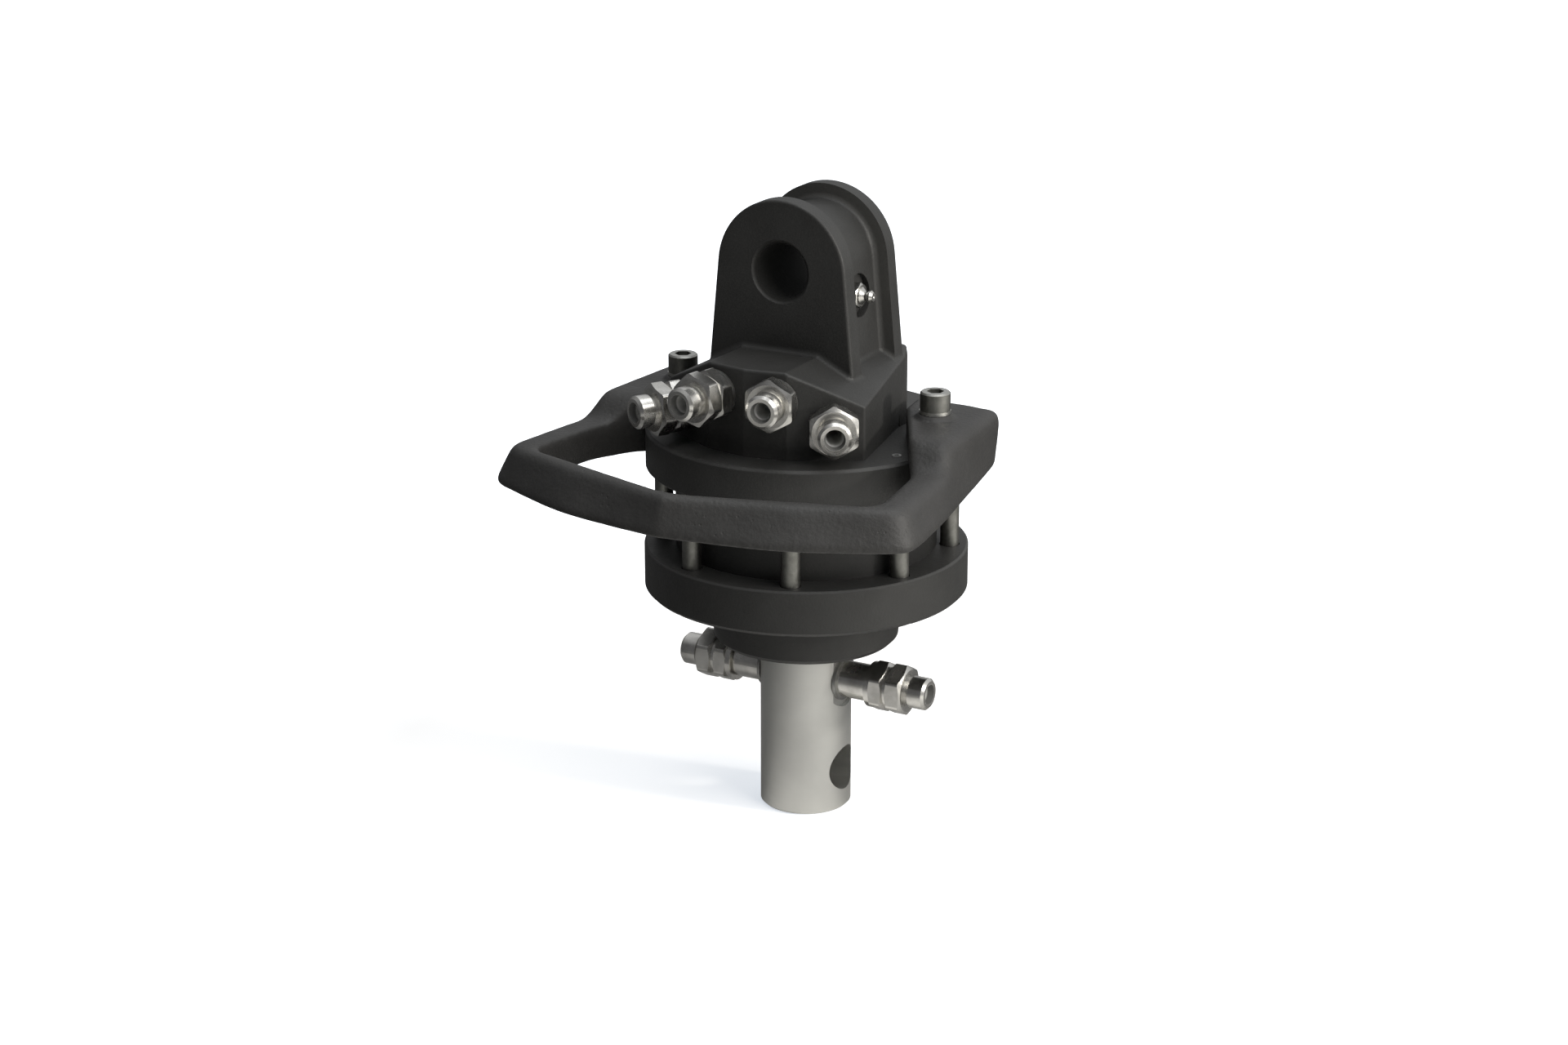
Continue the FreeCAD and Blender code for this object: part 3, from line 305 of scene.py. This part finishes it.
# %% Group: cast skin
tree, given, result = node_group(
    "cast_skin",
    {"Vector": ("Vector", None), "Grain": ("Float", 900.0), "Waves": ("Float", 45.0),
     "Pits": ("Float", 0.3)},
    {"Height": "Float", "Mask": "Float"})
grain = add(tree, "TexNoise", {"Vector": given["Vector"], "Scale": given["Grain"],
                               "Detail": 3.0, "Roughness": 0.55})
waves = add(tree, "TexNoise", {"Vector": given["Vector"], "Scale": given["Waves"], "Detail": 2.0})
cells = add(tree, "TexVoronoi", {"Vector": given["Vector"], "Scale": 260.0})
pits = add(tree, "MapRange", {"Value": cells.outputs["Distance"], "From Min": 0.05, "From Max": 0.22,
                              "To Min": -1.0, "To Max": 0.0}, interpolation_type="SMOOTHSTEP")
rare = add(tree, "MapRange", {"Value": waves.outputs["Fac"], "From Min": 0.5, "From Max": 0.62})
pitted = add(tree, "Math", {0: pits.outputs["Result"], 1: rare.outputs["Result"]},
             operation="MULTIPLY")
deep = add(tree, "Math", {0: pitted.outputs[0], 1: given["Pits"]}, operation="MULTIPLY")
soft = add(tree, "Math", {0: grain.outputs["Fac"], 1: waves.outputs["Fac"]}, operation="ADD")
skin = add(tree, "Math", {0: soft.outputs[0], 1: deep.outputs[0]}, operation="ADD")
tree.links.new(skin.outputs[0], result["Height"])
tree.links.new(waves.outputs["Fac"], result["Mask"])
print(tree.name, "has", len(tree.nodes), "nodes")

# %% [markdown]
# ### Cloudy change of tone
# No painted or plated surface has one tone all over. A second colour could be painted on by
# hand, but a slow noise covers every piece at once. Its middle is stretched, so there are real
# patches, and not one even grey.

# %% Group: clouds
tree, given, result = node_group(
    "clouds",
    {"Vector": ("Vector", None), "Scale": ("Float", 12.0)},
    {"Value": "Float"})
slow = add(tree, "TexNoise", {"Vector": given["Vector"], "Scale": given["Scale"],
                              "Detail": 4.0, "Roughness": 0.6})
clearer = add(tree, "MapRange", {"Value": slow.outputs["Fac"], "From Min": 0.3, "From Max": 0.7},
              interpolation_type="SMOOTHSTEP")
tree.links.new(clearer.outputs["Result"], result["Value"])
print(tree.name, "has", len(tree.nodes), "nodes")

# %% [markdown]
# ### Turned edge
# Edges that were turned on a lathe lie on circles round the turning axis. The distance to such
# a circle is easy to work out from the position, so a thin painted highlight can be laid
# exactly along the edge, whatever the mesh is like there.

# %% Group: turned edge
tree, given, result = node_group(
    "turned_edge",
    {"Vector": ("Vector", None), "Radius": ("Float", 0.08), "Level": ("Float", 0.0),
     "Width": ("Float", 0.001)},
    {"Mask": "Float"})
parts = add(tree, "SeparateXYZ", {"Vector": given["Vector"]})
flat = add(tree, "CombineXYZ", {"X": parts.outputs["X"], "Y": parts.outputs["Y"]})
reach = add(tree, "VectorMath", {0: flat.outputs[0]}, operation="LENGTH")
aside = add(tree, "Math", {0: reach.outputs["Value"], 1: given["Radius"]},
            operation="SUBTRACT")
above = add(tree, "Math", {0: parts.outputs["Z"], 1: given["Level"]}, operation="SUBTRACT")
gap = add(tree, "CombineXYZ", {"X": aside.outputs[0], "Y": above.outputs[0]})
away = add(tree, "VectorMath", {0: gap.outputs[0]}, operation="LENGTH")
mask = add(tree, "MapRange", {"Value": away.outputs["Value"], "From Min": given["Width"],
                              "From Max": 0.0})
tree.links.new(mask.outputs["Result"], result["Mask"])
print(tree.name, "has", len(tree.nodes), "nodes")

# %% [markdown]
# ### Tool marks
# Turning and grinding leave fine lines that run round the axis. Noise squeezed flat along the
# axis gives such lines on any round piece: the vector is scaled before the noise reads it.

# %% Group: tool marks
tree, given, result = node_group(
    "tool_marks",
    {"Vector": ("Vector", None), "Stretch": ("Vector", (40.0, 40.0, 4000.0))},
    {"Height": "Float", "Streak": "Float"})
scaled = add(tree, "VectorMath", {0: given["Vector"], 1: given["Stretch"]}, operation="MULTIPLY")
lines = add(tree, "TexNoise", {"Vector": scaled.outputs[0], "Scale": 1.0, "Detail": 2.0,
                               "Roughness": 0.6})
streak = add(tree, "TexNoise", {"Vector": scaled.outputs[0], "Scale": 0.12, "Detail": 3.0})
tree.links.new(lines.outputs["Fac"], result["Height"])
tree.links.new(streak.outputs["Fac"], result["Streak"])
print(tree.name, "has", len(tree.nodes), "nodes")

# %% [markdown]
# ### Mouth of a hose end
# Inside a fitting the mouth is given flat colours that never mirror the lamps: a dark grey
# cone, which is painted shade, and a pale throat deeper in, which is painted light. The bore is
# round its own axis, so the distance from that axis, which the record gives for every port, says
# which faces are inside.

# %% Group: mouth
mouth_edge = 0.0002
tree, given, result = node_group(
    "mouth",
    {"Vector": ("Vector", None), "Place": ("Vector", (0, 0, 0)), "Axis": ("Vector", (0, 0, 1)),
     "Radius": ("Float", 0.005)},
    {"Mask": "Float"})
offset = add(tree, "VectorMath", {0: given["Vector"], 1: given["Place"]}, operation="SUBTRACT")
along = add(tree, "VectorMath", {0: offset.outputs[0], 1: given["Axis"]}, operation="PROJECT")
across = add(tree, "VectorMath", {0: offset.outputs[0], 1: along.outputs[0]}, operation="SUBTRACT")
reach = add(tree, "VectorMath", {0: across.outputs[0]}, operation="LENGTH")
edge = add(tree, "Math", {0: given["Radius"], 1: mouth_edge}, operation="ADD")
inside = add(tree, "MapRange", {"Value": reach.outputs["Value"], "From Min": edge.outputs[0],
                                "From Max": given["Radius"]})
tree.links.new(inside.outputs["Result"], result["Mask"])
print("groups:", [g.name for g in bpy.data.node_groups])


# %% [markdown]
# ## The finishes
# Each finish starts the same way: a material, its Principled shader, and the object's own
# coordinates in metres. The CAD nodes all sit at the origin, so those coordinates are the
# part's own frame, and neighbouring pieces share one continuous pattern.

# %% Start a finish
def start(name):
    """A new material, with its node tree, its Principled shader and the coordinates."""
    material = bpy.data.materials.new(name)
    material.use_nodes = True
    tree = material.node_tree
    shader = tree.nodes["Principled BSDF"]
    spot = add(tree, "TexCoord").outputs["Object"]
    return material, tree, shader, spot


print("helper: start")


# %% Mix a colour or a number over the surface
def tone(tree, factor, dark, light):
    """A colour between two tones, by a factor from 0 to 1."""
    mixed = add(tree, "Mix", data_type="RGBA")
    mixed.inputs[6].default_value = (*dark, 1)
    mixed.inputs[7].default_value = (*light, 1)
    tree.links.new(factor, mixed.inputs["Factor"])
    return mixed.outputs[2]


def over(tree, factor, under, colour):
    """A colour laid over another by a mask."""
    mixed = add(tree, "Mix", data_type="RGBA")
    mixed.inputs[7].default_value = (*colour, 1)
    tree.links.new(factor, mixed.inputs["Factor"])
    tree.links.new(under, mixed.inputs[6])
    return mixed.outputs[2]


def spread(tree, factor, low, high):
    """A number between two ends, by a factor from 0 to 1."""
    return add(tree, "MapRange", {"Value": factor, "To Min": low, "To Max": high}).outputs["Result"]


def bump(tree, height, distance):
    """A normal from a height of 0 to 1 that stands for a distance in metres."""
    return add(tree, "Bump", {"Height": height, "Distance": distance}).outputs["Normal"]


print("helpers: tone, over, spread, bump")


# %% [markdown]
# ### Satin black paint on castings
# Three castings share one paint: the head, the cover and the ring between them, and the guard
# has the same paint over a coarser skin. One function makes them all, with its own values.
# In the channel between the lug's rim plates the inner faces are painted paler: painted light
# in the channel. They are found by their place and by the way they face.

# %% Where on the castings
channel_fillet = 0.003
bore_chamfer = 0.001
hair = 0.0005


def in_channel(tree, spot, wall):
    """1 on the faces that close the lug's channel. The wall is half the channel's width."""
    place_y = add(tree, "SeparateXYZ", {"Vector": spot}).outputs["Y"]
    normal = add(tree, "NewGeometry").outputs["Normal"]
    facing_y = add(tree, "SeparateXYZ", {"Vector": normal}).outputs["Y"]
    aside = add(tree, "Math", {0: place_y}, operation="ABSOLUTE").outputs[0]
    towards = add(tree, "Math", {0: facing_y}, operation="ABSOLUTE").outputs[0]
    near = add(tree, "MapRange", {"Value": aside, "From Min": wall - channel_fillet,
                                  "From Max": wall - hair})
    square = add(tree, "MapRange", {"Value": towards, "From Min": 0.4, "From Max": 0.95})
    short = add(tree, "Math", {0: aside, 1: wall + hair}, operation="LESS_THAN")
    both = add(tree, "Math", {0: near.outputs["Result"], 1: square.outputs["Result"]},
               operation="MULTIPLY")
    return add(tree, "Math", {0: both.outputs[0], 1: short.outputs[0]},
               operation="MULTIPLY").outputs[0]


def in_link_bore(tree, spot, radius):
    """1 inside the link bore, whose axis is Y."""
    across = add(tree, "VectorMath", {0: spot, 1: (1, 0, 1)}, operation="MULTIPLY")
    reach = add(tree, "VectorMath", {0: across.outputs[0]}, operation="LENGTH")
    return add(tree, "MapRange", {"Value": reach.outputs["Value"],
                                  "From Min": radius + bore_chamfer,
                                  "From Max": radius}).outputs["Result"]


print("helpers: in_channel, in_link_bore")

# %% Painted castings
# Colour of the painted highlight along the turned rims.
rim_highlight_colour = (0.075, 0.075, 0.072)
# Colour of the painted light on the inner faces of the lug's channel.
channel_light_colour = (0.060, 0.0595, 0.056)
# Colour and roughness of the painted shade inside the link bore.
bore_shade_colour = (0.010, 0.010, 0.009)
bore_shade_gloss = (0.85, 0.95)
paint_clouds = 14.0


def painted(name, dark, light, gloss, grain, waves, pits, depth, rims=(), bore=None,
            channel=None):
    """Paint over a cast skin. Gloss is the lowest and the highest roughness."""
    material, tree, shader, spot = start(name)
    low, high = gloss
    skin = place(tree, "cast_skin", Vector=spot, Grain=grain, Waves=waves, Pits=pits)
    clouds = place(tree, "clouds", Vector=spot, Scale=paint_clouds)["Value"]
    colour = tone(tree, clouds, dark, light)
    # A thin lighter line along each turned rim: a painted highlight.
    for radius, level, width in rims:
        rim_highlight = place(tree, "turned_edge", Vector=spot, Radius=radius, Level=level, Width=width)
        colour = over(tree, rim_highlight["Mask"], colour, rim_highlight_colour)
    # Paler inner faces of the lug's channel: painted light.
    if channel:
        colour = over(tree, in_channel(tree, spot, channel), colour, channel_light_colour)
    # Inside the link bore the paint is made nearly black and rough: painted shade.
    if bore:
        bore_shade = in_link_bore(tree, spot, bore)
        colour = over(tree, bore_shade, colour, bore_shade_colour)
        low = spread(tree, bore_shade, low, bore_shade_gloss[0])
        high = spread(tree, bore_shade, high, bore_shade_gloss[1])
    tree.links.new(colour, shader.inputs["Base Color"])
    tree.links.new(spread(tree, skin["Mask"], low, high), shader.inputs["Roughness"])
    tree.links.new(bump(tree, skin["Height"], depth), shader.inputs["Normal"])
    shader.inputs["Specular IOR Level"].default_value = 0.35
    return material


# Turned rims that carry a painted highlight: radius, level and width in metres.
flange_rim = (0.0858, -0.089, 0.0012)
cover_rim = (0.087, -0.1535, 0.0012)
link_bore = 0.0155
channel_wall = 0.019
finishes = {
    "casting": painted("casting_paint", (0.021, 0.021, 0.020), (0.030, 0.030, 0.029),
                       gloss=(0.42, 0.60), grain=700, waves=60, pits=0.2, depth=0.00012,
                       rims=(flange_rim, cover_rim), bore=link_bore, channel=channel_wall),
    "ring": painted("ring_paint", (0.010, 0.010, 0.010), (0.016, 0.016, 0.015),
                    gloss=(0.42, 0.58), grain=900, waves=30, pits=0.0, depth=0.00006),
    "guard": painted("guard_paint", (0.0255, 0.0250, 0.0240), (0.0370, 0.0362, 0.0350),
                     gloss=(0.44, 0.62), grain=480, waves=70, pits=0.6, depth=0.0003),
}
print("paints:", [material.name for material in finishes.values()])


# %% [markdown]
# ### Steel, plating and bronze
# Bare metals differ in colour, gloss and the direction of their marks. The shaft is ground, so
# its marks run round it. Plated fittings are smooth with a faint haze, and bolts are duller, with
# a lighter colour painted on their tops as painted light. Seven materials could be wired by hand.
# One function with seven sets of values keeps them alike where metals are alike.

# %% Metals
mouth_radius = 0.00545
throat_radius = 0.00455
# Flat colours inside the ports: painted shade on the cone and painted light in the throat.
mouth_shade_colour = (0.105, 0.105, 0.10)
dull_gloss = (0.6, 0.7)
throat_light_colour = (0.62, 0.62, 0.60)


def metal(name, dark, light, gloss, stretch, depth, cloud, top_light_colour=None, ports=()):
    """Bare or plated metal. Top light is a lighter colour painted on up-facing faces: painted light.
    Ports get a flat dark grey mouth, painted shade, and a pale throat, painted light.
    """
    material, tree, shader, spot = start(name)
    low, high = gloss
    shader.inputs["Metallic"].default_value = 1.0
    marks = place(tree, "tool_marks", Vector=spot, Stretch=stretch)
    clouds = place(tree, "clouds", Vector=spot, Scale=cloud)["Value"]
    colour = tone(tree, clouds, dark, light)
    # Up-facing faces get a lighter colour: painted light on the tops.
    if top_light_colour:
        facing = add(tree, "SeparateXYZ", {"Vector": add(tree, "NewGeometry").outputs["Normal"]})
        upward = add(tree, "MapRange", {"Value": facing.outputs["Z"], "From Min": 0.5,
                                        "From Max": 0.9})
        colour = over(tree, upward.outputs["Result"], colour, top_light_colour)
    bare = None
    # In each port the cone is painted flat dark grey, painted shade, and the throat flat pale grey,
    # painted light.
    for port in ports:
        line = {"Vector": spot, "Place": port["pos_m"], "Axis": port["axis"]}
        mouth = place(tree, "mouth", **line, Radius=mouth_radius)["Mask"]
        throat = place(tree, "mouth", **line, Radius=throat_radius)["Mask"]
        colour = over(tree, throat, over(tree, mouth, colour, mouth_shade_colour), throat_light_colour)
        low = spread(tree, mouth, low, dull_gloss[0])
        high = spread(tree, mouth, high, dull_gloss[1])
        outside = spread(tree, mouth, 1.0, 0.0)
        if bare:
            outside = add(tree, "Math", {0: bare, 1: outside}, operation="MULTIPLY").outputs[0]
        bare = outside
    if bare:
        tree.links.new(bare, shader.inputs["Metallic"])
    tree.links.new(colour, shader.inputs["Base Color"])
    tree.links.new(spread(tree, marks["Streak"], low, high), shader.inputs["Roughness"])
    tree.links.new(bump(tree, marks["Height"], depth), shader.inputs["Normal"])
    return material


print("a mouth is", round(2000 * mouth_radius, 1), "mm wide")

# %% Each metal
hose_ends = [mount for mount in frame["record"]["mounts"] if "port" in mount["name"]]
finishes["shaft"] = metal("ground_shaft", (0.50, 0.50, 0.48), (0.58, 0.58, 0.555),
                          gloss=(0.40, 0.50), stretch=(60, 60, 5000), depth=0.00002, cloud=18)
finishes["zinc"] = metal("bright_zinc", (0.50, 0.49, 0.465), (0.68, 0.67, 0.64),
                         gloss=(0.20, 0.32), stretch=(700, 700, 700), depth=0.00001, cloud=90,
                         ports=hose_ends)
finishes["bolt"] = metal("dull_zinc", (0.15, 0.15, 0.138), (0.23, 0.23, 0.215),
                         gloss=(0.38, 0.52), stretch=(900, 900, 200), depth=0.00003, cloud=120,
                         top_light_colour=(0.44, 0.44, 0.42))
finishes["washer"] = metal("washer_zinc", (0.50, 0.50, 0.47), (0.62, 0.62, 0.59),
                           gloss=(0.25, 0.40), stretch=(900, 900, 900), depth=0.00002, cloud=120)
finishes["steel"] = metal("machined_steel", (0.40, 0.40, 0.39), (0.55, 0.55, 0.54),
                          gloss=(0.26, 0.40), stretch=(80, 80, 3500), depth=0.00003, cloud=40)
finishes["bronze"] = metal("bronze", (0.45, 0.28, 0.12), (0.62, 0.42, 0.20),
                           gloss=(0.28, 0.42), stretch=(80, 80, 3500), depth=0.00003, cloud=40)
finishes["seal_steel"] = metal("seal_steel", (0.22, 0.22, 0.21), (0.36, 0.36, 0.35),
                               gloss=(0.35, 0.5), stretch=(900, 900, 900), depth=0.00002,
                               cloud=90)
print("hose ends:", [mount["name"] for mount in hose_ends])


# %% [markdown]
# ### Rubber and filled plastic
# Rubber seals are matt black and the feed rings are green filled plastic, both with the fine
# skin of a steel mould. They are nearly hidden, but they show when the model is taken apart. A
# flat colour would do there, but the groups are at hand, so they cost three lines.

# %% Soft seals
def moulded(name, dark, light, gloss, depth):
    """Rubber or plastic with the fine skin of a steel mould."""
    material, tree, shader, spot = start(name)
    clouds = place(tree, "clouds", Vector=spot, Scale=80.0)["Value"]
    skin = place(tree, "cast_skin", Vector=spot, Grain=2500.0, Waves=120.0, Pits=0.0)
    tree.links.new(tone(tree, clouds, dark, light), shader.inputs["Base Color"])
    tree.links.new(spread(tree, skin["Mask"], *gloss), shader.inputs["Roughness"])
    tree.links.new(bump(tree, skin["Height"], depth), shader.inputs["Normal"])
    return material


finishes["rubber"] = moulded("seal_rubber", (0.012, 0.012, 0.012), (0.022, 0.022, 0.022),
                             gloss=(0.55, 0.75), depth=0.00004)
finishes["seal_plastic"] = moulded("seal_plastic", (0.16, 0.30, 0.22), (0.22, 0.38, 0.29),
                                   gloss=(0.4, 0.55), depth=0.00002)
print("finishes made:", len(finishes))

# %% Put the finishes on the CAD nodes
slot_of = {part["node"]: part["material_slot"] for part in frame["record"]["subparts"]}
for name, node in frame["nodes"].items():
    node.data.materials.clear()
    node.data.materials.append(finishes[slot_of[name]])
print("finishes:", {name: material.name for name, material in finishes.items()})

# %% [markdown]
# ## The guard, melted like a sand casting
# The real guard comes from a sand mould, so no edge is crisp: the bar reads as one soft form,
# and the crease in front is clear at the top and gone below. A bevel needs clean edges, which
# the CAD mesh's triangles don't give, and a guard modelled again would lose the fit to its
# screws. Here a copy is turned into even voxels, which smoothing melts like wax, and a weight
# on each vertex says where: fully on the bar, and not at all at the bosses and on the flange.

# %% Even voxels from the CAD guard
def settled(piece):
    """Puts a piece's modifiers into its mesh."""
    shape = piece.evaluated_get(bpy.context.evaluated_depsgraph_get())
    piece.data = bpy.data.meshes.new_from_object(shape)
    piece.modifiers.clear()


voxel = 0.0012
same_place = 0.000001
form = bmesh.new()
form.from_mesh(frame["nodes"]["guard"].data)
bmesh.ops.remove_doubles(form, verts=form.verts, dist=same_place)
guard = mesh_object("guard_casting", form)
voxels = guard.modifiers.new("voxels", "REMESH")
voxels.mode = "VOXEL"
voxels.voxel_size = voxel
settled(guard)
print("guard voxel mesh:", len(guard.data.polygons), "faces")


# %% Where the guard melts
def ease(value, low, high):
    """From 0 to 1 as a value goes from low to high, with soft ends."""
    part = min(max((value - low) / (high - low), 0.0), 1.0)
    return part * part * (3 - 2 * part)


screw_head = 0.008
boss_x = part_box("guard_screws")[1][0] - screw_head
flange_seat = (0.0872, 0.094)
boss_seat = (0.010, 0.018)
bar_front = (0.12, 0.14)
crease_rise = (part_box("guard")[0][2] + 0.006, -0.087)
crease_half = 0.007
crease_kept = 0.9
melt = guard.vertex_groups.new(name="melt")
for vertex in guard.data.vertices:
    x, y, z = vertex.co
    off_flange = ease(math.hypot(x, y), *flange_seat)
    off_boss = ease(math.hypot(abs(x) - boss_x, y), *boss_seat)
    in_front = ease(-y, *bar_front)
    on_crease = math.exp(-(x / crease_half) ** 2) * ease(z, *crease_rise) * in_front
    melt.add([vertex.index], off_flange * off_boss * (1 - crease_kept * on_crease), "REPLACE")
melting = guard.modifiers.new("melting", "SMOOTH")
melting.factor = 0.5
melting.iterations = 42
melting.vertex_group = "melt"
settled(guard)
print("guard melted, bosses at x =", round(boss_x, 4))

# %% Waves of the mould in the guard, always inward
broad, fine = 110.0, 320.0
mean_depth, wave_depth = 0.00014, 0.00010
form = bmesh.new()
form.from_mesh(guard.data)
for vertex in form.verts:
    wave = noise.noise(vertex.co * broad) + 0.5 * noise.noise(vertex.co * fine)
    vertex.co -= vertex.normal * (mean_depth + wave_depth * wave)
form.to_mesh(guard.data)
form.free()
for polygon in guard.data.polygons:
    polygon.use_smooth = True
guard.data.materials.clear()
guard.data.materials.append(finishes["guard"])
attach(guard, "stator")
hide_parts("guard")
print("guard triangles:", sum(len(polygon.vertices) - 2 for polygon in guard.data.polygons))
